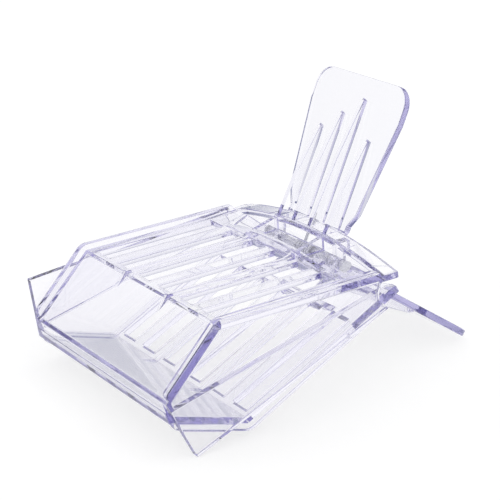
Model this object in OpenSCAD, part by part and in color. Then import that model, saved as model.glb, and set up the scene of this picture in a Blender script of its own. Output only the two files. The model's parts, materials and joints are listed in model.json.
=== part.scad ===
// Queen catcher clip: a clear cage of two identical slotted jaws that open
// when their two handles are squeezed, on one steel pin with one steel spring.
//
// Every part is first drawn in the clip frame: X runs from the nose to the
// handles, Z from the lower jaw to the upper jaw, and the jaws part at Z = 0.
// The lower jaw is the upper jaw turned half a turn about X. The whole clip is
// then stood on a table, resting on three points, with Z = 0 as the table top
// and the origin below the middle of the clip.

/* [Cage] */
// Width of the cage across its slotted panel
cage_w = 49.8; // [44:0.2:60]
// Height of each jaw at its nose
nose_h = 2.3; // [2:0.1:3]
// Distance from the nose back to the front crease
crease_x = 13.7; // [10:0.1:17]
// Height of each jaw at the front crease
crease_h = 10.2; // [8.5:0.1:13]
// Distance from the nose to the rear edge of the cage
rear_x = 49.4; // [46:0.1:60]
// Height of each jaw's side at the rear edge
rear_h = 2.3; // [2.2:0.1:2.8]
// Thickness of the panels
panel_t = 1.2; // [1:0.05:1.3]
// Thickness of the side plates and side walls
side_t = 1.5; // [1.1:0.05:1.8]
// Gap between one jaw's side plate and the other jaw's side wall
side_gap = 0.35; // [0.3:0.05:0.8]
// Gap between the two closed jaws
seam = 0.2; // [0.1:0.05:0.5]

/* [Rims] */
// Height of the rims along both sides, above the front and the slotted panel
rim_h = 1; // [0.6:0.1:1.4]
// Radius of the rims' bend over the front crease
rim_r = 3; // [1.5:0.1:5]
// Distance up the front from the nose to the start of the rims
rim_start = 0.8; // [0.3:0.1:2]

/* [Side plate] */
// Distance from the nose back to the plate's lower tip
tip_x = 2; // [0:0.1:5]
// Depth of the plate's lower tip below the parting plane
tip_drop = 9.1; // [7:0.1:11]
// Depth of the plate's rear heel below the parting plane
heel_drop = 3.1; // [2:0.1:4]
// Width of the notch behind the plate's rear end, in front of the rear edge
notch_w = 5; // [4.6:0.1:6]
// How far the plate's rear end leans forwards on its way down from the panel
notch_lead = 0.3; // [0:0.1:0.5]
// How far the plate's heel reaches back below the notch
heel_reach = 1; // [0.5:0.1:1.5]
// Radius of the side wall's rounded rear end
wall_r = 2; // [1.5:0.1:2.1]

/* [Slots and ribs] */
// Width of each slot: a worker bee passes, a queen does not
slot_w = 4.3; // [3.9:0.05:4.5]
// Distance between the middles of neighbouring slots
slot_pitch = 7.55; // [6.6:0.05:7.8]
// Gap between the front crease and the slots
slot_front = 1.4; // [0.5:0.1:4]
// Length of each slot
slot_len = 24; // [12:0.5:24.5]
// Width of the long ribs on the panel
rib_w = 1.1; // [0.8:0.1:1.5]
// Height of the long ribs on the panel
rib_h = 0.5; // [0.3:0.1:1]
// How far the long ribs run down the front from the crease
rib_front = 2.7; // [1:0.1:5]
// How far in front of the cross rib the long ribs start to climb
rib_ramp = 2; // [1:0.1:3]
// How far the long ribs' tops stay below the bridge's top
rib_inset = 0.15; // [0.05:0.05:0.3]
// Gap between the slots and the cross rib
brow_gap = 0.4; // [0.2:0.1:0.6]
// Height of the arched cross rib behind the slots
brow_h = 1.7; // [1:0.1:2]
// Length of the arched cross rib
brow_len = 33.6; // [20:0.2:36]

/* [Bridge and hinge] */
// Length of the arched bridge, along the clip
bridge_len = 3.7; // [3.2:0.1:4.5]
// Rise of the bridge above the panel, at its middle
bridge_rise = 3.1; // [2.6:0.1:4]
// Distance from the hinge pin's axis back to the cage's rear edge
hinge_back = 3; // [2.8:0.1:3.4]
// Diameter of the hinge pin
pin_d = 1.6; // [1.3:0.05:1.95]
// Radial running clearance of the pin in the upper jaw's lugs
pin_clear = 0.05; // [0.02:0.01:0.1]
// Diameter of the pin's two heads
pin_head_d = 2.6; // [2.2:0.1:2.8]
// Thickness of each head of the pin
pin_head_t = 0.6; // [0.4:0.1:0.8]
// Thickness of each hinge lug
lug_t = 1.6; // [1.2:0.1:2]
// Radius of each lug's round end
lug_r = 1.55; // [1.35:0.05:1.6]
// Distance from the middle of the clip to the inner lugs
lug_y = 9; // [8.5:0.1:10]
// Side gap between neighbouring lugs
lug_gap = 0.2; // [0.15:0.05:0.5]
// Room between the bridges and the lugs, pin heads and spring that turn under them
hinge_room = 0.1; // [0.05:0.05:0.1]
// How far the lugs stay in front of the bridge's rear face
lug_inset = 0.4; // [0.2:0.1:0.6]

/* [Spring] */
// Diameter of the spring's wire
wire_d = 0.6; // [0.5:0.05:0.7]
// Inner radius of the spring's coil beyond the pin
coil_clear = 0.15; // [0.1:0.05:0.2]
// Gap between neighbouring turns of the coil
coil_gap = 0.12; // [0.05:0.01:0.2]
// Number of turns in the coil
coil_turns = 6; // [4:1:8]
// Length of each straight leg of the spring
leg_len = 7.5; // [6:0.1:9]

/* [Handles] */
// Length of each handle
handle_len = 28.1; // [22:0.1:32]
// Slope of each handle against the parting plane, in degrees
handle_tilt = 50; // [45:1:55]
// Thickness of each handle
handle_t = 1.3; // [1.1:0.05:1.5]
// Width of each handle near its tip
handle_w = 28; // [24:0.5:34]
// Width of each handle at its root
neck_w = 19; // [17:0.5:24]
// Width of each handle where its sides start to spread
waist_w = 22; // [19:0.5:24]
// Distance up the handle to the end of its root's straight sides
neck_len = 1; // [0.5:0.1:2]
// Distance up the handle to where its sides start to spread
waist_len = 3.5; // [3:0.1:6]
// Length of the handle's full-width end
paddle_len = 6.7; // [6.2:0.1:9]
// Radius of the handle's two corners
handle_corner = 4; // [2:0.1:6]
// Distance from the middle of the handle to the inner fins
fin_y = 2.5; // [2:0.1:3]
// Width of each fin
fin_w = 1.1; // [0.8:0.1:1.5]
// Length of the longest fin up the handle, the inner one on the side plate's side
fin_longest = 24; // [18:0.5:25]
// Length of the other inner fin up the handle
fin_long = 20.5; // [16:0.5:24]
// Length of the outer fins up the handle
fin_short = 17; // [12:0.5:20]
// Height of each fin over the handle, halfway along the fin
fin_rise = 2.1; // [1.5:0.1:2.5]
// Height of each fin's blunt tip over the handle
fin_tip = 0.6; // [0.3:0.1:1]
// How far each fin's foot stays behind the bridge's front face
fin_inset = 0.4; // [0.2:0.1:0.8]

/* [Hidden] */
$fn = 96;

clear_plastic = [0.88, 0.88, 0.96, 0.55];
steel = [0.72, 0.73, 0.75];

slot_count = 6;
big = 200;                        // longer than the clip, for cutters
half_w = cage_w / 2;
floor_z = seam / 2;               // the upper jaw's parting face

// Slopes of the front and of the slotted panel
front_angle = atan((crease_h - nose_h) / crease_x);
panel_angle = atan((crease_h - rear_h) / (rear_x - crease_x));
// Both sides lean the same way, so that each jaw's plate passes outside the other jaw's wall
lean = asin((side_t + side_gap) / (2 * crease_h));

bridge_x = rear_x - bridge_len * cos(panel_angle);
bridge_z = crease_h - (bridge_x - crease_x) * tan(panel_angle);
arch_r = (half_w * half_w + bridge_rise * bridge_rise) / (2 * bridge_rise);
// The leaning sides shift the middle of the bridge this far
arch_shift = -(crease_h - bridge_z) * tan(lean);
hinge_x = rear_x - hinge_back;

// Corners of the panels' inner faces
nose_in = [panel_t, nose_h + panel_t * tan(front_angle) - panel_t / cos(front_angle)];
crease_in_x = (crease_h + crease_x * tan(panel_angle) - panel_t / cos(panel_angle) - nose_h
               + panel_t / cos(front_angle)) / (tan(front_angle) + tan(panel_angle));
crease_in = [crease_in_x, nose_h + crease_in_x * tan(front_angle) - panel_t / cos(front_angle)];

// A point in the X-Z plane, u along the panel from the bridge's front and v above the panel
function panel_point(u, v) = [
    bridge_x + u * cos(panel_angle) + v * sin(panel_angle),
    bridge_z - u * sin(panel_angle) + v * cos(panel_angle)
];
// How far the arch has dropped at a distance y from its middle
function arch_drop(y) = arch_r - sqrt(arch_r * arch_r - y * y);
function arc(centre, r, from, to, steps) = [
    for (i = [0 : steps]) centre + r * [cos(from + (to - from) * i / steps), sin(from + (to - from) * i / steps)]
];

// A point in the X-Z plane, s up the front from the nose and d above the front
function front_point(s, d) = [
    s * cos(front_angle) - d * sin(front_angle),
    nose_h + s * sin(front_angle) + d * cos(front_angle)
];
// Where the front and the panel would meet if both were raised by d
function raised_crease(d) =
    let (turn = 90 + (front_angle - panel_angle) / 2)
    [crease_x, crease_h] + d / cos((front_angle + panel_angle) / 2) * [cos(turn), sin(turn)];
rim_bend = raised_crease(rim_h - rim_r);
// Outline of the rim, which stands up from each side between the nose and the bridge
rim_outline = concat(
    arc(front_point(rim_start + rim_h, 0), rim_h, 180 + front_angle, 90 + front_angle, 6),
    arc(rim_bend, rim_r, 90 + front_angle, 90 - panel_angle, 10),
    arc(panel_point(-rim_h, 0), rim_h, 90 - panel_angle, -panel_angle, 6)
);

// The handle's root lies on the rear face of the bridge
handle_root = panel_point(bridge_len, bridge_rise);
handle_along = [cos(handle_tilt), sin(handle_tilt)];
handle_out = [-sin(handle_tilt), cos(handle_tilt)];
// A point in the X-Z plane, s along the handle's outer face and d in front of it
function handle_point(s, d) = handle_root + s * handle_along + d * handle_out;

// ---- How the clip stands ----
// It rests on the upper jaw's side plate tip, on the bend of the lower jaw's far rim and on one
// end of the lower handle's tip.
tip_edge = handle_w / 2 - handle_corner;
plate_tip_y = -half_w - (crease_h + tip_drop) * tan(lean);
foot_plate = [tip_x, plate_tip_y + side_t, -tip_drop];
foot_handle = [handle_point(handle_len, 0).x, tip_edge, -handle_point(handle_len, 0).y];

// The point of the far rim's bend that faces a given way
function rim_foot(turn) =
    let (bend = rim_bend + rim_r * [cos(turn), sin(turn)])
    [bend.x, half_w - (bend.y - crease_h) * tan(lean), -bend.y];
// The way up when the clip rests on the plate's tip, the handle's tip and a point of the rim
function way_up(foot) =
    let (upright = cross(foot_handle - foot_plate, foot - foot_plate))
    upright / norm(upright);

first_up = way_up(rim_foot(90));
foot_rim = rim_foot(90 + atan2(first_up.x, first_up.z));
rest_up = way_up(foot_rim);
stand_roll = atan2(rest_up.y, rest_up.z);
stand_pitch = -atan2(rest_up.x, norm([rest_up.y, rest_up.z]));

function roll_point(p) = [
    p.x,
    p.y * cos(stand_roll) - p.z * sin(stand_roll),
    p.y * sin(stand_roll) + p.z * cos(stand_roll)
];
function pitch_point(p) = [
    p.x * cos(stand_pitch) + p.z * sin(stand_pitch),
    p.y,
    -p.x * sin(stand_pitch) + p.z * cos(stand_pitch)
];
function stood(p) = pitch_point(roll_point(p));
function half_turn(p) = [p.x, -p.y, -p.z];

// The points of the clip that can lie furthest out, for centring it
outer_tip = handle_point(handle_len, -handle_t);
nose_y = -half_w - (crease_h - nose_h) * tan(lean);
reach = [
    foot_plate,
    foot_handle,
    [tip_x, plate_tip_y, -tip_drop],
    [0, nose_y, nose_h],
    [outer_tip.x, tip_edge, outer_tip.y],
    [outer_tip.x, -tip_edge, outer_tip.y]
];
reach_all = [for (p = reach) stood(p), for (p = reach) stood(half_turn(p))];
reach_x = [for (p = reach_all) p.x];
reach_y = [for (p = reach_all) p.y];
middle = [(min(reach_x) + max(reach_x)) / 2, (min(reach_y) + max(reach_y)) / 2, stood(foot_plate).z];

module stand() {
    translate(-middle) rotate([stand_roll, stand_pitch, 0]) children();
}

module lower() {
    rotate([180, 0, 0]) children();
}

// ---- Helpers in the clip frame ----

// The space between two planes that lean with the sides; y1 and y2 are measured at the panel
module leaning(y1, y2) {
    translate([0, 0, crease_h])
        rotate([-lean, 0, 0])
            translate([-big / 2, y1 * cos(lean), -big / 2])
                cube([big, (y2 - y1) * cos(lean), big]);
}

// A shape drawn in the X-Z plane, drawn out along Y
module along_y(y1, y2) {
    translate([0, y2, 0])
        rotate([90, 0, 0])
            linear_extrude(height = y2 - y1)
                children();
}

// A shape in the X-Z plane, trimmed between two leaning planes
module between(y1, y2) {
    intersection() {
        along_y(-big / 2, big / 2)
            children();
        leaning(y1, y2);
    }
}

// Shapes drawn across the clip, drawn out along the panel from the bridge's front face
module across_panel(from, to) {
    translate([bridge_x, arch_shift, bridge_z])
        rotate([0, panel_angle, 0])
            translate([from, 0, 0])
                rotate([90, 0, 90])
                    linear_extrude(height = to - from)
                        children();
}

side_y = half_w - side_t;

// ---- One jaw, part by part, as the upper one ----

// Short upright nose and the sloping front
module jaw_front() {
    color(clear_plastic)
        between(-side_y, side_y)
            polygon([
                [0, floor_z], [0, nose_h], [crease_x, crease_h],
                crease_in, nose_in, [panel_t, floor_z]
            ]);
}

module slots() {
    for (i = [0 : slot_count - 1])
        translate([crease_x + slot_front, (i - (slot_count - 1) / 2) * slot_pitch - slot_w / 2, 0])
            cube([slot_len, slot_w, crease_h + 1]);
}

// Slotted panel
module jaw_grille() {
    color(clear_plastic)
        difference() {
            between(-side_y, side_y)
                polygon([
                    [crease_x, crease_h], panel_point(0, 0), panel_point(0, -panel_t), crease_in
                ]);
            slots();
        }
}

// Two long ribs that climb to the bridge, and the arched cross rib behind the slots
rib_start = crease_x - rib_front;
brow_x = crease_x + slot_front + slot_len + brow_gap;
panel_run = (bridge_x - crease_x) / cos(panel_angle);
brow_u = (brow_x - bridge_x) / cos(panel_angle);

module long_rib(y) {
    top = bridge_rise - arch_drop(y) - rib_inset;
    along_y(y - rib_w / 2, y + rib_w / 2)
        polygon([
            [rib_start, nose_h + rib_start * tan(front_angle)],
            [crease_x - rib_h * tan(front_angle) / 2, crease_h + rib_h],
            panel_point(-panel_run, rib_h),
            panel_point(brow_u - rib_ramp, rib_h),
            panel_point(0, top),
            panel_point(0, 0),
            [crease_x, crease_h]
        ]);
}

module brow() {
    brow_r = (brow_len * brow_len / 4 + brow_h * brow_h) / (2 * brow_h);
    across_panel(brow_u, brow_u + panel_t)
        translate([-arch_shift, 0])
            intersection() {
                translate([0, brow_h - brow_r])
                    circle(brow_r, $fn = 360);
                translate([-brow_len, 0])
                    square([2 * brow_len, 2 * brow_h]);
            }
}

module jaw_panel_ribs() {
    color(clear_plastic)
        union() {
            long_rib(-slot_pitch);
            long_rib(slot_pitch);
            brow();
        }
}

// Large pentagonal plate on one side, which passes outside the other jaw's wall
module jaw_side_plate() {
    notch_x = rear_x - notch_w;
    color(clear_plastic)
        between(-half_w, -side_y)
            polygon(concat([[0, nose_h]], rim_outline, [
                panel_point(0, -panel_t), [notch_x, floor_z], [notch_x - notch_lead, -heel_drop / 3],
                [notch_x + heel_reach, -heel_drop], [tip_x, -tip_drop]
            ]));
}

// Low wall on the other side; its rounded rear end closes the gap under the bridge
module jaw_side_wall() {
    rear_low = panel_point(bridge_len, -panel_t);
    color(clear_plastic)
        difference() {
            between(side_y, half_w)
                polygon(concat(
                    [[0, floor_z], [0, nose_h]],
                    rim_outline,
                    [panel_point(bridge_len, 0), rear_low],
                    arc([rear_low.x - wall_r, floor_z + wall_r], wall_r, -30, -90, 8)
                ));
            bridge_shell();
        }
}

// Arched segment of the bridge, above a level v
module arch_segment(r, v) {
    intersection() {
        translate([0, bridge_rise - arch_r])
            circle(r, $fn = 720);
        translate([-half_w - side_t, v])
            square([2 * (half_w + side_t), bridge_rise + 2 * panel_t]);
    }
}

module bridge_shell() {
    intersection() {
        difference() {
            across_panel(0, bridge_len)
                arch_segment(arch_r, -panel_t);
            across_panel(panel_t, bridge_len + 1)
                arch_segment(arch_r - panel_t, -2 * panel_t);
        }
        leaning(-half_w, half_w);
    }
}

// Arched bridge behind the slots; its front face is a low cross wall that stays clear of the hinge
module jaw_bridge() {
    hinge_r = max(lug_r, coil_r + wire_d / 2) + hinge_room;
    color(clear_plastic)
        difference() {
            bridge_shell();
            translate([hinge_x, 0, 0])
                rotate([90, 0, 0])
                    cylinder(h = pin_len + 2 * (pin_head_t + hinge_room), r = hinge_r, center = true);
        }
}

// A plate that hangs from the bridge and holds the pin
module hinge_lug(y, bore_d) {
    top = bridge_rise - arch_drop(abs(y) + lug_t) - panel_t / 2;
    difference() {
        along_y(y - lug_t / 2, y + lug_t / 2)
            difference() {
                union() {
                    polygon([
                        panel_point(panel_t / 2, top), panel_point(bridge_len - lug_inset, top),
                        [hinge_x + lug_r, 0], [hinge_x - lug_r, 0]
                    ]);
                    translate([hinge_x, 0])
                        circle(lug_r);
                }
                translate([hinge_x, 0])
                    circle(d = bore_d);
            }
        bridge_shell();
    }
}

// Each jaw has an inner lug on one side and an outer lug on the other
module jaw_hinge_lugs(bore_d) {
    color(clear_plastic)
        union() {
            hinge_lug(lug_y, bore_d);
            hinge_lug(-lug_y - lug_t - lug_gap, bore_d);
        }
}

// Half of the handle's outline, s along the handle and y across it
function handle_side() = concat(
    [
        [-bridge_len, neck_w / 2], [neck_len, neck_w / 2], [waist_len, waist_w / 2],
        [handle_len - paddle_len, handle_w / 2]
    ],
    arc([handle_len - handle_corner, handle_w / 2 - handle_corner], handle_corner, 90, 0, 10)
);

module handle_outline() {
    side = handle_side();
    last = len(side) - 1;
    polygon(concat(side, [for (i = [last : -1 : 0]) [side[i].x, -side[i].y]]));
}

// Paddle that a finger and a thumb squeeze
module jaw_handle() {
    color(clear_plastic)
        intersection() {
            along_y(-handle_w, handle_w)
                polygon([
                    handle_root, handle_point(handle_len, 0), handle_point(handle_len, -handle_t),
                    handle_point(0, -handle_t), panel_point(bridge_len, bridge_rise - panel_t)
                ]);
            translate([handle_root.x, 0, handle_root.y])
                rotate([0, -handle_tilt, 0])
                    translate([0, 0, -2 * handle_w])
                        linear_extrude(height = 4 * handle_w)
                            handle_outline();
        }
}

// A fin that stiffens the handle against the bridge
module handle_fin(y, fin_len) {
    foot = panel_point(fin_inset, bridge_rise - arch_drop(abs(y) + fin_w));
    heel = panel_point(bridge_len, bridge_rise - panel_t / 2);
    difference() {
        along_y(y - fin_w / 2, y + fin_w / 2)
            polygon([
                handle_point(fin_len, 0), handle_point(fin_len - fin_tip / 2, fin_tip),
                handle_point(fin_len / 2, fin_rise), foot,
                panel_point(fin_inset, bridge_rise - panel_t), heel, handle_root
            ]);
        bridge_shell();
    }
}

module jaw_handle_fins() {
    color(clear_plastic)
        union() {
            handle_fin(-fin_y, fin_longest);
            handle_fin(fin_y, fin_long);
            handle_fin(-3 * fin_y, fin_short);
            handle_fin(3 * fin_y, fin_short);
        }
}

// ---- Steel parts ----

// Length of the pin between its heads, with a side gap at each end
pin_len = 2 * (lug_y + 1.5 * lug_t + 2 * lug_gap);

// Hinge pin with a head at each end
module hinge_pin() {
    color(steel)
        translate([hinge_x, 0, 0])
            rotate([90, 0, 0]) {
                cylinder(h = pin_len, d = pin_d, center = true);
                for (side = [-1, 1])
                    translate([0, 0, side * (pin_len + pin_head_t) / 2])
                        cylinder(h = pin_head_t, d = pin_head_d, center = true);
            }
}

// Route of the spring's wire: the lower leg, the coil about the pin, and the upper leg.
// Each leg lies along the inner face of its handle.
coil_r = pin_d / 2 + coil_clear + wire_d / 2;
coil_pitch = wire_d + coil_gap;
coil_len = coil_turns * coil_pitch;
coil_start = 90 - handle_tilt;
coil_sweep = coil_turns * 360 - 2 * coil_start;
turn_steps = 20;
coil_steps = round(coil_sweep / 360 * turn_steps);

// A point of the coil at a share of its length, from 0 to 1
function coil_point(share) =
    let (angle = coil_start + coil_sweep * share)
    [hinge_x + coil_r * cos(angle), (share - 0.5) * coil_len, coil_r * sin(angle)];
function wire_route() = concat(
    [coil_point(0) + leg_len * [handle_along.x, 0, -handle_along.y]],
    [for (i = [0 : coil_steps]) coil_point(i / coil_steps)],
    [coil_point(1) + leg_len * [handle_along.x, 0, handle_along.y]]
);

function unit(v) = v / norm(v);

// Nearly along the pin, so that it is never in line with any stretch of the wire
sideways = [0, 1, 0.01];

// A round wire along a route of points
module wire(route, d, sides) {
    last = len(route) - 1;
    rings = [
        for (i = [0 : last])
            let (
                ahead = unit(route[min(i + 1, last)] - route[max(i - 1, 0)]),
                across = unit(cross(ahead, sideways)),
                over = cross(ahead, across)
            )
            for (k = [0 : sides - 1])
                route[i] + d / 2 * (cos(360 * k / sides) * across + sin(360 * k / sides) * over)
    ];
    walls = [
        for (i = [0 : last - 1])
            for (k = [0 : sides - 1])
                [
                    i * sides + k, i * sides + (k + 1) % sides,
                    (i + 1) * sides + (k + 1) % sides, (i + 1) * sides + k
                ]
    ];
    polyhedron(
        points = rings,
        faces = concat(
            walls,
            [[for (k = [sides - 1 : -1 : 0]) k]],
            [[for (k = [0 : sides - 1]) last * sides + k]]
        )
    );
}

// Torsion spring that closes the jaws
module hinge_spring() {
    color(steel)
        wire(wire_route(), wire_d, 8);
}

stand() jaw_front();  // upper_front
stand() jaw_grille();  // upper_grille
stand() jaw_panel_ribs();  // upper_panel_ribs
stand() jaw_side_plate();  // upper_side_plate
stand() jaw_side_wall();  // upper_side_wall
stand() jaw_bridge();  // upper_bridge
stand() jaw_hinge_lugs(pin_d + 2 * pin_clear);  // upper_hinge_lugs
stand() jaw_handle();  // upper_handle
stand() jaw_handle_fins();  // upper_handle_fins
stand() lower() jaw_front();  // lower_front
stand() lower() jaw_grille();  // lower_grille
stand() lower() jaw_panel_ribs();  // lower_panel_ribs
stand() lower() jaw_side_plate();  // lower_side_plate
stand() lower() jaw_side_wall();  // lower_side_wall
stand() lower() jaw_bridge();  // lower_bridge
stand() lower() jaw_hinge_lugs(pin_d);  // lower_hinge_lugs
stand() lower() jaw_handle();  // lower_handle
stand() lower() jaw_handle_fins();  // lower_handle_fins
stand() hinge_pin();
stand() hinge_spring();
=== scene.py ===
# Clear plastic queen catcher clip: two slotted jaws, each one clear moulding, on a steel
# pin with a steel spring. Every size is in metres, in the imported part's own frame.
import json
import math

import bmesh
import bpy
import numpy as np
from mathutils import Matrix, Vector
from mathutils.bvhtree import BVHTree


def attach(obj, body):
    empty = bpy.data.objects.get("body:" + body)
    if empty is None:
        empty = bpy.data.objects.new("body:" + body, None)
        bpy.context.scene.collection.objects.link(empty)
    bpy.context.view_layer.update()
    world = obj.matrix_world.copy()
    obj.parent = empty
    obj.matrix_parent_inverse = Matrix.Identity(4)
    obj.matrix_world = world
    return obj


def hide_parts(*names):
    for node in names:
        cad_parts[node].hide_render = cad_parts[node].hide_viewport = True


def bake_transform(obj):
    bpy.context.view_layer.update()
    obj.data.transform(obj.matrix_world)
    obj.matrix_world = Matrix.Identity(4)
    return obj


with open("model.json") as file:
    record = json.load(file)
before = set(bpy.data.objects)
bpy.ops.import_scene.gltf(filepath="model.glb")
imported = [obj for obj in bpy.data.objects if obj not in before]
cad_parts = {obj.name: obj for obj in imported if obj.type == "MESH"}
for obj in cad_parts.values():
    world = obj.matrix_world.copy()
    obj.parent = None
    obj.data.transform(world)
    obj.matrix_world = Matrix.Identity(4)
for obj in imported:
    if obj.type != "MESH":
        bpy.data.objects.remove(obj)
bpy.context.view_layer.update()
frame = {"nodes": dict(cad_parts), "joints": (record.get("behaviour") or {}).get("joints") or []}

MM = 0.001
JAW_REGIONS = [
    "front", "grille", "panel_ribs", "side_plate", "side_wall",
    "bridge", "hinge_lugs", "handle", "handle_fins",
]

# Joining the regions of one moulding
MICRON = 0.001 * MM
JOIN_OVERLAP = 0.5 * MICRON       # regions that meet face to face are grown by this, so that they join
CORNER_MERGE = 1 * MICRON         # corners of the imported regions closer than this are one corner
SAME_PLANE_ANGLE = math.radians(0.03)
SAME_NORMAL = 0.05                # normals that differ by less than this count once at a corner
WEAK_DIRECTION = 0.05             # a corner doesn't move along directions its faces hardly turn to
LONGEST_MOVE = 4                  # a corner moves at most this many times the overlap
WELDS = (20, 15, 10, 25, 30, 8, 6, 4, 40, 50)    # in microns, tried in turn until the moulding closes
FLAT_ANGLE = math.radians(0.3)    # faces of a moulding flatter than this become one face

# Rounding the moulded edges
EDGE_RADIUS = 0.2 * MM
EDGE_ANGLE = math.radians(24)     # edges sharper than this are rounded
EDGE_SEGMENTS = 2
SMOOTH_ANGLE = math.radians(50)   # edges sharper than this keep a crisp shading
CROWDED_REACH = 0.8 * MM          # edges this close to a crossing stay sharp
ROUNDING_TRIES = 8

# Steel parts
WIRE_D = 0.6 * MM
WIRE_SIDES = 16
COIL_R = 1.25 * MM
COIL_PITCH = 0.72 * MM
COIL_TURNS = 6
POINTS_PER_TURN = 40
LEG_LENGTH = 7.5 * MM
HANDLE_TILT = math.radians(50)
PIN_D = 1.6 * MM
PIN_LENGTH = 24.8 * MM            # between the heads
PIN_HEAD_D = 2.6 * MM
PIN_HEAD_T = 0.6 * MM
PIN_HEAD_ROUND = 0.25 * MM
PIN_ROUND_STEPS = 6
PIN_SIDES = 64

# Looks
SCUFF_PEAK = 0.85                 # noise value at which a scuff is at its strongest
SCUFF_STRETCH = (0.15, 1.0, 1.0)  # scuffs run mostly one way, so they are drawn out along X
PLASTIC_IOR = 1.52
PLASTIC_CLEAN = (1.0, 1.0, 1.0, 1)
PLASTIC_RUBBED = (0.95, 0.95, 0.98, 1)
PLASTIC_ROUGHNESS = (0.015, 0.12)   # where it is clean, where it is rubbed
PLASTIC_RIPPLE = 0.05 * MM
PLASTIC_RIPPLE_STRENGTH = 0.35
DEPTH_COLOUR = (0.12, 0.05, 0.6, 1)
DEPTH_DENSITY = 28
PIN_FRESH = (0.72, 0.73, 0.75, 1)
PIN_DULLED = (0.6, 0.6, 0.62, 1)
SPRING_FRESH = (0.66, 0.67, 0.7, 1)
SPRING_DULLED = (0.5, 0.5, 0.52, 1)
STEEL_ROUGHNESS = (0.2, 0.42)     # where it is clean, where it is rubbed
STEEL_GRAIN = 0.01 * MM
STEEL_GRAIN_STRENGTH = 0.4

# View
CAMERA_AZIMUTH = math.radians(-32.47)
CAMERA_ELEVATION = math.radians(20.05)
CAMERA_ROLL = math.radians(-0.77)
CAMERA_DISTANCE = 321.7 * MM
CAMERA_LENS = 126.4               # this and the sensor's width are in millimetres
CAMERA_SENSOR = 36
CAMERA_REACH = (0.01, 20)         # nearest and farthest point that it sees
CAMERA_TARGET = Vector((-4.17, 0.16, 23.1)) * MM

# Studio
FLOOR_SIZE = 3.0
FLOOR_COLOUR = (0.35, 0.35, 0.35, 1)
FLOOR_ROUGHNESS = 0.9
FLOOR_GLOW = 0.7                  # light that comes up through the floor
HORIZON_BAND = (0.05, 0.5)        # heights between which the horizon turns into the overhead light
HORIZON_COLOUR = (0.22, 0.24, 0.38, 1)
OVERHEAD_COLOUR = (1.06, 1.06, 1.06, 1)
BACKDROP_STRENGTH = 1.03
LIGHT_BOUNCES = 32                # light runs far inside clear edges before it leaves


# ---- Small helpers ----

def link(obj):
    bpy.context.scene.collection.objects.link(obj)
    return obj


def mesh_object(name, mesh):
    return link(bpy.data.objects.new(name, mesh))


def smooth_by_angle(mesh, angle):
    """Smooth shading, with the edges sharper than angle kept crisp."""
    shaded = bmesh.new()
    shaded.from_mesh(mesh)
    for face in shaded.faces:
        face.smooth = True
    for edge in shaded.edges:
        edge.smooth = edge.calc_face_angle(math.pi) < angle
    shaded.to_mesh(mesh)
    shaded.free()


def flat_faced(mesh, name):
    """A copy whose large faces shade flat and whose rounded edges take up all the turning."""
    source = mesh_object("shading_source", mesh)
    weigh = source.modifiers.new("weigh", "WEIGHTED_NORMAL")
    weigh.mode = "FACE_AREA"
    weigh.weight = 100
    weigh.keep_sharp = True
    evaluated = source.evaluated_get(bpy.context.evaluated_depsgraph_get())
    shaded = bpy.data.meshes.new_from_object(evaluated)
    shaded.name = name
    bpy.data.objects.remove(source)
    return shaded


# ---- Clip axes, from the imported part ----

joint = frame["joints"][0]
hinge_at = Vector(joint["pos_m"])
clip_y = Vector(joint["axis"]).normalized()


def middle_of(node):
    """Middle of a node's own points."""
    points = [v.co for v in frame["nodes"][node].data.vertices]
    return sum(points, Vector()) / len(points)


# The two handles mirror each other about the clip's long axis
clip_x = (middle_of("upper_handle") + middle_of("lower_handle")) / 2 - hinge_at
clip_x = (clip_x - clip_x.dot(clip_y) * clip_y).normalized()
clip_z = clip_x.cross(clip_y)


def from_hinge(x, y, z):
    """A point given from the hinge, along the clip, across it and up from its parting plane."""
    return hinge_at + x * clip_x + y * clip_y + z * clip_z


# ---- Material helpers ----

def node_in(tree, kind, location, **values):
    node = tree.nodes.new(kind)
    node.location = location
    for name, value in values.items():
        setattr(node, name, value)
    return node


def new_material(name):
    material = bpy.data.materials.new(name)
    material.use_nodes = True
    tree = material.node_tree
    tree.nodes.clear()
    out = node_in(tree, "ShaderNodeOutputMaterial", (700, 0))
    bsdf = node_in(tree, "ShaderNodeBsdfPrincipled", (400, 0))
    tree.links.new(bsdf.outputs["BSDF"], out.inputs["Surface"])
    return material, tree, bsdf, out


def value_map(tree, location, value, low, high):
    """Maps a value from 0 to 1 onto low to high."""
    node = node_in(tree, "ShaderNodeMapRange", location)
    node.inputs["To Min"].default_value = low
    node.inputs["To Max"].default_value = high
    tree.links.new(value, node.inputs["Value"])
    return node.outputs["Result"]


def colour_mix(tree, location, share, first, second):
    node = node_in(tree, "ShaderNodeMix", location, data_type="RGBA")
    node.inputs["A"].default_value = first
    node.inputs["B"].default_value = second
    tree.links.new(share, node.inputs["Factor"])
    return node.outputs["Result"]


def bump(tree, location, height, distance, strength):
    node = node_in(tree, "ShaderNodeBump", location)
    node.inputs["Strength"].default_value = strength
    node.inputs["Distance"].default_value = distance
    tree.links.new(height, node.inputs["Height"])
    return node.outputs["Normal"]


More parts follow.
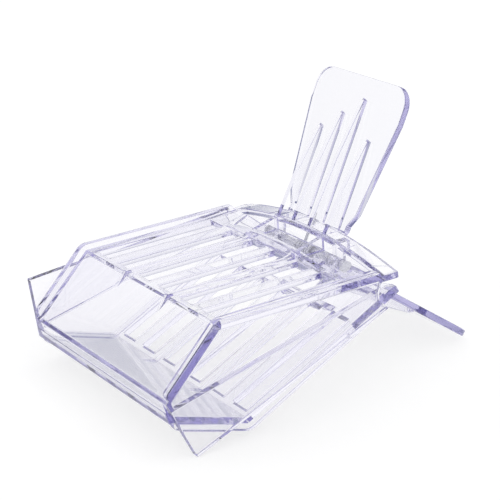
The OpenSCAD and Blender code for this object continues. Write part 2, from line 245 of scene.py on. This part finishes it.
def surface_marks():
    """Shared marks of handled parts: slow ripples, fine scuffs and worn edges."""
    group = bpy.data.node_groups.new("surface_marks", "ShaderNodeTree")
    for name, default in (("Ripple Scale", 100.0), ("Scuff Scale", 900.0), ("Scuff Share", 0.3)):
        socket = group.interface.new_socket(name, in_out="INPUT", socket_type="NodeSocketFloat")
        socket.default_value = default
    for name in ("Ripples", "Scuffs", "Wear"):
        group.interface.new_socket(name, in_out="OUTPUT", socket_type="NodeSocketFloat")
    given = node_in(group, "NodeGroupInput", (-900, 0))
    result = node_in(group, "NodeGroupOutput", (700, 0))
    place = node_in(group, "ShaderNodeTexCoord", (-900, -300))
    ripples = node_in(group, "ShaderNodeTexNoise", (-500, 300))
    ripples.inputs["Detail"].default_value = 1.5
    stretch = node_in(group, "ShaderNodeMapping", (-700, -200))
    stretch.inputs["Scale"].default_value = SCUFF_STRETCH
    scuffs = node_in(group, "ShaderNodeTexNoise", (-500, -100))
    scuffs.inputs["Detail"].default_value = 3.0
    onset = node_in(group, "ShaderNodeMath", (-500, -400), operation="SUBTRACT")
    onset.inputs[0].default_value = SCUFF_PEAK
    sparse = node_in(group, "ShaderNodeMapRange", (-200, -100), interpolation_type="SMOOTHSTEP")
    sparse.inputs["From Max"].default_value = SCUFF_PEAK
    edge = node_in(group, "ShaderNodeAttribute", (-500, -600), attribute_name="edge")
    worn = node_in(group, "ShaderNodeMath", (200, -300), operation="MULTIPLY")
    ties = group.links.new
    ties(given.outputs["Ripple Scale"], ripples.inputs["Scale"])
    ties(given.outputs["Scuff Scale"], scuffs.inputs["Scale"])
    ties(given.outputs["Scuff Share"], onset.inputs[1])
    ties(place.outputs["Object"], ripples.inputs["Vector"])
    ties(place.outputs["Object"], stretch.inputs["Vector"])
    ties(stretch.outputs["Vector"], scuffs.inputs["Vector"])
    ties(scuffs.outputs["Fac"], sparse.inputs["Value"])
    ties(onset.outputs["Value"], sparse.inputs["From Min"])
    ties(ripples.outputs["Fac"], worn.inputs[0])
    ties(edge.outputs["Fac"], worn.inputs[1])
    ties(ripples.outputs["Fac"], result.inputs["Ripples"])
    ties(sparse.outputs["Result"], result.inputs["Scuffs"])
    ties(worn.outputs["Value"], result.inputs["Wear"])
    return group


def marks_node(tree, ripple_scale, scuff_scale, scuff_share):
    node = node_in(tree, "ShaderNodeGroup", (-900, 0), node_tree=marks)
    node.inputs["Ripple Scale"].default_value = ripple_scale
    node.inputs["Scuff Scale"].default_value = scuff_scale
    node.inputs["Scuff Share"].default_value = scuff_share
    return node.outputs


def total(tree, location, first, second):
    node = node_in(tree, "ShaderNodeMath", location, operation="ADD", use_clamp=True)
    tree.links.new(first, node.inputs[0])
    tree.links.new(second, node.inputs[1])
    return node.outputs["Value"]


def clear_plastic():
    """Clear styrene: ripples from the mould, light scuffs, and a faint violet in its depth."""
    material, tree, bsdf, out = new_material("clear_moulded_plastic")
    marked = marks_node(tree, ripple_scale=140.0, scuff_scale=2600.0, scuff_share=0.3)
    bsdf.inputs["Transmission Weight"].default_value = 1.0
    bsdf.inputs["IOR"].default_value = PLASTIC_IOR
    rubbed = total(tree, (-500, -100), marked["Scuffs"], marked["Wear"])
    tree.links.new(
        colour_mix(tree, (100, 200), rubbed, PLASTIC_CLEAN, PLASTIC_RUBBED), bsdf.inputs["Base Color"]
    )
    tree.links.new(value_map(tree, (100, -100), rubbed, *PLASTIC_ROUGHNESS), bsdf.inputs["Roughness"])
    tree.links.new(
        bump(tree, (100, -400), marked["Ripples"], PLASTIC_RIPPLE, PLASTIC_RIPPLE_STRENGTH),
        bsdf.inputs["Normal"],
    )
    depth = node_in(tree, "ShaderNodeVolumeAbsorption", (400, -500))
    depth.inputs["Color"].default_value = DEPTH_COLOUR
    depth.inputs["Density"].default_value = DEPTH_DENSITY
    tree.links.new(depth.outputs["Volume"], out.inputs["Volume"])
    return material


def drawn_steel(name, fresh, dulled):
    """Drawn steel with fine grain, a few dull patches and rubbed edges."""
    material, tree, bsdf, out = new_material(name)
    marked = marks_node(tree, ripple_scale=900.0, scuff_scale=5000.0, scuff_share=0.4)
    bsdf.inputs["Metallic"].default_value = 1.0
    tree.links.new(
        colour_mix(tree, (100, 200), marked["Ripples"], fresh, dulled), bsdf.inputs["Base Color"]
    )
    rubbed = total(tree, (-500, -100), marked["Scuffs"], marked["Wear"])
    tree.links.new(value_map(tree, (100, -100), rubbed, *STEEL_ROUGHNESS), bsdf.inputs["Roughness"])
    tree.links.new(
        bump(tree, (100, -400), marked["Scuffs"], STEEL_GRAIN, STEEL_GRAIN_STRENGTH),
        bsdf.inputs["Normal"],
    )
    return material


marks = surface_marks()
plastic = clear_plastic()
pin_steel = drawn_steel("pin_steel", PIN_FRESH, PIN_DULLED)
spring_steel = drawn_steel("spring_steel", SPRING_FRESH, SPRING_DULLED)


# ---- The two mouldings ----

def grown(mesh, distance):
    """Moves every flat face of a closed mesh out by distance."""
    shape = bmesh.new()
    shape.from_mesh(mesh)
    bmesh.ops.remove_doubles(shape, verts=shape.verts, dist=CORNER_MERGE)
    bmesh.ops.dissolve_limit(shape, angle_limit=SAME_PLANE_ANGLE, verts=shape.verts, edges=shape.edges)
    shape.normal_update()
    moves = []
    for vert in shape.verts:
        normals = []
        for face in vert.link_faces:
            if all((face.normal - other).length > SAME_NORMAL for other in normals):
                normals.append(face.normal.copy())
        wanted = np.full(len(normals), distance)
        move, *_ = np.linalg.lstsq(np.array(normals), wanted, rcond=WEAK_DIRECTION)
        moves.append(Vector(move * min(1, LONGEST_MOVE * distance / np.linalg.norm(move))))
    for vert, move in zip(shape.verts, moves):
        vert.co += move
    shape.to_mesh(mesh)
    shape.free()


def cleaned(mesh, weld):
    """The joined regions without the hairline steps that the growing leaves between them."""
    shape = bmesh.new()
    shape.from_mesh(mesh)
    bmesh.ops.remove_doubles(shape, verts=shape.verts, dist=weld)
    bmesh.ops.dissolve_degenerate(shape, dist=weld, edges=shape.edges)
    bmesh.ops.dissolve_limit(shape, angle_limit=FLAT_ANGLE, verts=shape.verts, edges=shape.edges)
    loose = [edge for edge in shape.edges if not edge.link_faces]
    bmesh.ops.delete(shape, geom=loose, context="EDGES")
    return shape


def joined(jaw):
    """The regions of a jaw as one closed shape."""
    regions = []
    for region in JAW_REGIONS:
        mesh = frame["nodes"][f"{jaw}_{region}"].data.copy()
        mesh.materials.clear()
        grown(mesh, JOIN_OVERLAP)
        regions.append(mesh_object(f"{jaw}_{region}_copy", mesh))
    base = regions[0]
    for region in regions[1:]:
        join = base.modifiers.new("join", "BOOLEAN")
        join.operation = "UNION"
        join.solver = "MANIFOLD"
        join.object = region
    evaluated = base.evaluated_get(bpy.context.evaluated_depsgraph_get())
    mesh = bpy.data.meshes.new_from_object(evaluated)
    for region in regions:
        bpy.data.objects.remove(region)
    for weld in WELDS:
        shape = cleaned(mesh, weld * MICRON)
        if not crossings(shape):
            return shape
        shape.free()
    raise RuntimeError(f"the {jaw} jaw's regions don't join into a closed shape")


def crossings(shape):
    """Middles of the faces that run through other faces, and of the edges left open."""
    opened = [edge for edge in shape.edges if len(edge.link_faces) != 2]
    places = [(edge.verts[0].co + edge.verts[1].co) / 2 for edge in opened]
    shape.faces.ensure_lookup_table()
    tree = BVHTree.FromBMesh(shape, epsilon=0)
    for first, second in tree.overlap(tree):
        if first >= second:
            continue
        one, other = shape.faces[first], shape.faces[second]
        if not set(one.verts) & set(other.verts):
            places.append(one.calc_center_median())
            places.append(other.calc_center_median())
    return places


def distance_to_edge(place, edge):
    start, end = (vert.co for vert in edge.verts)
    along = end - start
    share = min(1, max(0, (place - start).dot(along) / along.length_squared))
    return (place - start - share * along).length


def rounded(shape):
    """Rounds the sharp edges, except where the rounding would run into itself.

    Each try leaves out the edges near the crossings of the tries before it.
    """
    crowded = []
    for _ in range(ROUNDING_TRIES):
        trial = shape.copy()
        worn = trial.faces.layers.float.new("edge")
        sharp = [
            edge for edge in trial.edges
            if edge.calc_face_angle(0) > EDGE_ANGLE
            and all(distance_to_edge(place, edge) > CROWDED_REACH for place in crowded)
        ]
        made = bmesh.ops.bevel(
            trial, geom=sharp, offset=EDGE_RADIUS, offset_type="OFFSET", profile=0.5,
            segments=EDGE_SEGMENTS, affect="EDGES", clamp_overlap=False, loop_slide=True,
        )
        for face in made["faces"]:
            face[worn] = 1.0
        found = crossings(trial)
        if not found:
            return trial
        crowded += found
        trial.free()
    return shape


def moulding(jaw):
    """One seamless moulding from the regions of a jaw."""
    shape = rounded(joined(jaw))
    mesh = bpy.data.meshes.new(f"{jaw}_jaw_shape")
    shape.to_mesh(mesh)
    shape.free()
    smooth_by_angle(mesh, SMOOTH_ANGLE)
    mesh = flat_faced(mesh, f"{jaw}_jaw_moulding")
    mesh.materials.append(plastic)
    piece = mesh_object(f"{jaw}_jaw_moulding", mesh)
    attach(piece, f"{jaw}_jaw")
    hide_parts(*[f"{jaw}_{region}" for region in JAW_REGIONS])
    return piece


moulding("upper")
moulding("lower")


# ---- Hinge pin ----

def lathed(name, profile, sides):
    """A closed solid turned about the pin's axis from (radius, distance along) points."""
    points = []
    for radius, along in profile:
        for k in range(sides):
            turn = math.tau * k / sides
            points.append(from_hinge(radius * math.cos(turn), along, radius * math.sin(turn)))
    rings = [range(i * sides, (i + 1) * sides) for i in range(len(profile))]
    faces = []
    for ring, after in zip(rings, rings[1:]):
        for k in range(sides):
            beside = (k + 1) % sides
            faces.append((ring[k], after[k], after[beside], ring[beside]))
    faces.append(tuple(rings[0]))
    faces.append(tuple(reversed(rings[-1])))
    mesh = bpy.data.meshes.new(name)
    mesh.from_pydata(points, [], faces)
    mesh.update()
    return mesh


def pin_profile():
    """The pin's outline: a round-cornered head, the shank and the other head."""
    end = PIN_LENGTH / 2
    head = []
    for step in range(PIN_ROUND_STEPS + 1):
        turn = math.pi / 2 * step / PIN_ROUND_STEPS
        head.append((
            PIN_HEAD_D / 2 - PIN_HEAD_ROUND * (1 - math.sin(turn)),
            end + PIN_HEAD_T - PIN_HEAD_ROUND * (1 - math.cos(turn)),
        ))
    head += [(PIN_HEAD_D / 2, end), (PIN_D / 2, end)]
    return [(radius, -along) for radius, along in head] + list(reversed(head))


def hinge_pin():
    mesh = lathed("hinge_pin_turned", pin_profile(), PIN_SIDES)
    smooth_by_angle(mesh, SMOOTH_ANGLE)
    mesh.materials.append(pin_steel)
    piece = mesh_object("hinge_pin_turned", mesh)
    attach(piece, "lower_jaw")
    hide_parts("hinge_pin")


hinge_pin()


# ---- Spring ----

def wire_tree():
    """Geometry nodes that sweep a round wire along a route of edges."""
    tree = bpy.data.node_groups.new("wire_along_route", "GeometryNodeTree")
    tree.interface.new_socket("Geometry", in_out="INPUT", socket_type="NodeSocketGeometry")
    tree.interface.new_socket("Wire Radius", in_out="INPUT", socket_type="NodeSocketFloat")
    tree.interface.new_socket("Sides", in_out="INPUT", socket_type="NodeSocketInt")
    tree.interface.new_socket("Material", in_out="INPUT", socket_type="NodeSocketMaterial")
    tree.interface.new_socket("Geometry", in_out="OUTPUT", socket_type="NodeSocketGeometry")
    given = node_in(tree, "NodeGroupInput", (-800, 0))
    result = node_in(tree, "NodeGroupOutput", (800, 0))
    route = node_in(tree, "GeometryNodeMeshToCurve", (-500, 100))
    section = node_in(tree, "GeometryNodeCurvePrimitiveCircle", (-500, -200))
    sweep = node_in(tree, "GeometryNodeCurveToMesh", (-200, 0))
    sweep.inputs["Fill Caps"].default_value = True
    real = node_in(tree, "GeometryNodeRealizeInstances", (200, 0))
    dress = node_in(tree, "GeometryNodeSetMaterial", (500, 0))
    ties = tree.links.new
    ties(given.outputs["Geometry"], route.inputs["Mesh"])
    ties(given.outputs["Wire Radius"], section.inputs["Radius"])
    ties(given.outputs["Sides"], section.inputs["Resolution"])
    ties(route.outputs["Curve"], sweep.inputs["Curve"])
    ties(section.outputs["Curve"], sweep.inputs["Profile Curve"])
    ties(sweep.outputs["Mesh"], real.inputs["Geometry"])
    ties(real.outputs["Geometry"], dress.inputs["Geometry"])
    ties(given.outputs["Material"], dress.inputs["Material"])
    ties(dress.outputs["Geometry"], result.inputs["Geometry"])
    return tree


def spring_route():
    """The lower leg, the coil about the pin and the upper leg, as points."""
    start = math.pi / 2 - HANDLE_TILT
    sweep = COIL_TURNS * math.tau - 2 * start
    length = COIL_TURNS * COIL_PITCH
    steps = round(sweep / math.tau * POINTS_PER_TURN)
    coil = []
    for i in range(steps + 1):
        turn = start + sweep * i / steps
        across = (i / steps - 0.5) * length
        coil.append(from_hinge(COIL_R * math.cos(turn), across, COIL_R * math.sin(turn)))
    along, out = math.cos(HANDLE_TILT) * clip_x, math.sin(HANDLE_TILT) * clip_z
    return [coil[0] + LEG_LENGTH * (along - out), *coil, coil[-1] + LEG_LENGTH * (along + out)]


def hinge_spring():
    route = spring_route()
    mesh = bpy.data.meshes.new("spring_route")
    mesh.from_pydata(route, [(i, i + 1) for i in range(len(route) - 1)], [])
    path = mesh_object("spring_route", mesh)
    tree = wire_tree()
    given = [item for item in tree.interface.items_tree if item.in_out == "INPUT"]
    sockets = {item.name: item.identifier for item in given}
    sweep = path.modifiers.new("wire", "NODES")
    sweep.node_group = tree
    sweep[sockets["Wire Radius"]] = WIRE_D / 2
    sweep[sockets["Sides"]] = WIRE_SIDES
    sweep[sockets["Material"]] = spring_steel
    evaluated = path.evaluated_get(bpy.context.evaluated_depsgraph_get())
    wound = bpy.data.meshes.new_from_object(evaluated)
    wound.name = "hinge_spring_wound"
    bpy.data.objects.remove(path)
    smooth_by_angle(wound, SMOOTH_ANGLE)
    piece = mesh_object("hinge_spring_wound", wound)
    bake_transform(piece)
    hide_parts("hinge_spring")


hinge_spring()


# ---- Floor, light and camera ----

def floor():
    mesh = bpy.data.meshes.new("floor")
    corners = [(x * FLOOR_SIZE, y * FLOOR_SIZE, 0) for x, y in ((-1, -1), (1, -1), (1, 1), (-1, 1))]
    mesh.from_pydata(corners, [], [(0, 1, 2, 3)])
    piece = mesh_object("floor", mesh)
    material, tree, bsdf, out = new_material("pale_floor")
    bsdf.inputs["Base Color"].default_value = FLOOR_COLOUR
    bsdf.inputs["Roughness"].default_value = FLOOR_ROUGHNESS
    # The floor is a softly lit table, so that the clear parts cast only a faint shadow
    bsdf.inputs["Emission Color"].default_value = (1, 1, 1, 1)
    bsdf.inputs["Emission Strength"].default_value = FLOOR_GLOW
    bsdf.inputs["Specular IOR Level"].default_value = 0.0
    mesh.materials.append(material)


def studio_world():
    """White overhead and a cooler, darker band above the horizon, which draws the clear edges."""
    world = bpy.data.worlds.new("studio")
    bpy.context.scene.world = world
    world.use_nodes = True
    tree = world.node_tree
    tree.nodes.clear()
    out = node_in(tree, "ShaderNodeOutputWorld", (900, 0))
    place = node_in(tree, "ShaderNodeTexCoord", (-800, 0))
    split = node_in(tree, "ShaderNodeSeparateXYZ", (-600, 0))
    height = node_in(tree, "ShaderNodeMapRange", (-400, 0), interpolation_type="SMOOTHSTEP")
    height.inputs["From Min"].default_value = HORIZON_BAND[0]
    height.inputs["From Max"].default_value = HORIZON_BAND[1]
    colour = colour_mix(tree, (-100, 0), height.outputs["Result"], HORIZON_COLOUR, OVERHEAD_COLOUR)
    studio = node_in(tree, "ShaderNodeBackground", (300, 100))
    seen = node_in(tree, "ShaderNodeBackground", (300, -100))
    seen.inputs["Color"].default_value = (1, 1, 1, 1)
    seen.inputs["Strength"].default_value = BACKDROP_STRENGTH
    rays = node_in(tree, "ShaderNodeLightPath", (300, 400))
    mix = node_in(tree, "ShaderNodeMixShader", (600, 0))
    tree.links.new(place.outputs["Generated"], split.inputs["Vector"])
    tree.links.new(split.outputs["Z"], height.inputs["Value"])
    tree.links.new(colour, studio.inputs["Color"])
    tree.links.new(rays.outputs["Is Camera Ray"], mix.inputs["Fac"])
    tree.links.new(studio.outputs["Background"], mix.inputs[1])
    tree.links.new(seen.outputs["Background"], mix.inputs[2])
    tree.links.new(mix.outputs["Shader"], out.inputs["Surface"])


def camera():
    data = bpy.data.cameras.new("camera")
    data.lens = CAMERA_LENS
    data.sensor_width = CAMERA_SENSOR
    data.clip_start, data.clip_end = CAMERA_REACH
    obj = link(bpy.data.objects.new("camera", data))
    back = Vector((
        math.sin(CAMERA_AZIMUTH) * math.cos(CAMERA_ELEVATION),
        -math.cos(CAMERA_AZIMUTH) * math.cos(CAMERA_ELEVATION),
        math.sin(CAMERA_ELEVATION),
    ))
    turn = back.to_track_quat("Z", "Y").to_matrix() @ Matrix.Rotation(CAMERA_ROLL, 3, "Z")
    obj.matrix_world = Matrix.Translation(CAMERA_TARGET + CAMERA_DISTANCE * back) @ turn.to_4x4()
    bpy.context.scene.camera = obj


floor()
studio_world()
camera()
scene = bpy.context.scene
scene.view_settings.view_transform = "Standard"
scene.cycles.max_bounces = LIGHT_BOUNCES
scene.cycles.transmission_bounces = LIGHT_BOUNCES
scene.cycles.glossy_bounces = LIGHT_BOUNCES
scene.cycles.transparent_max_bounces = LIGHT_BOUNCES
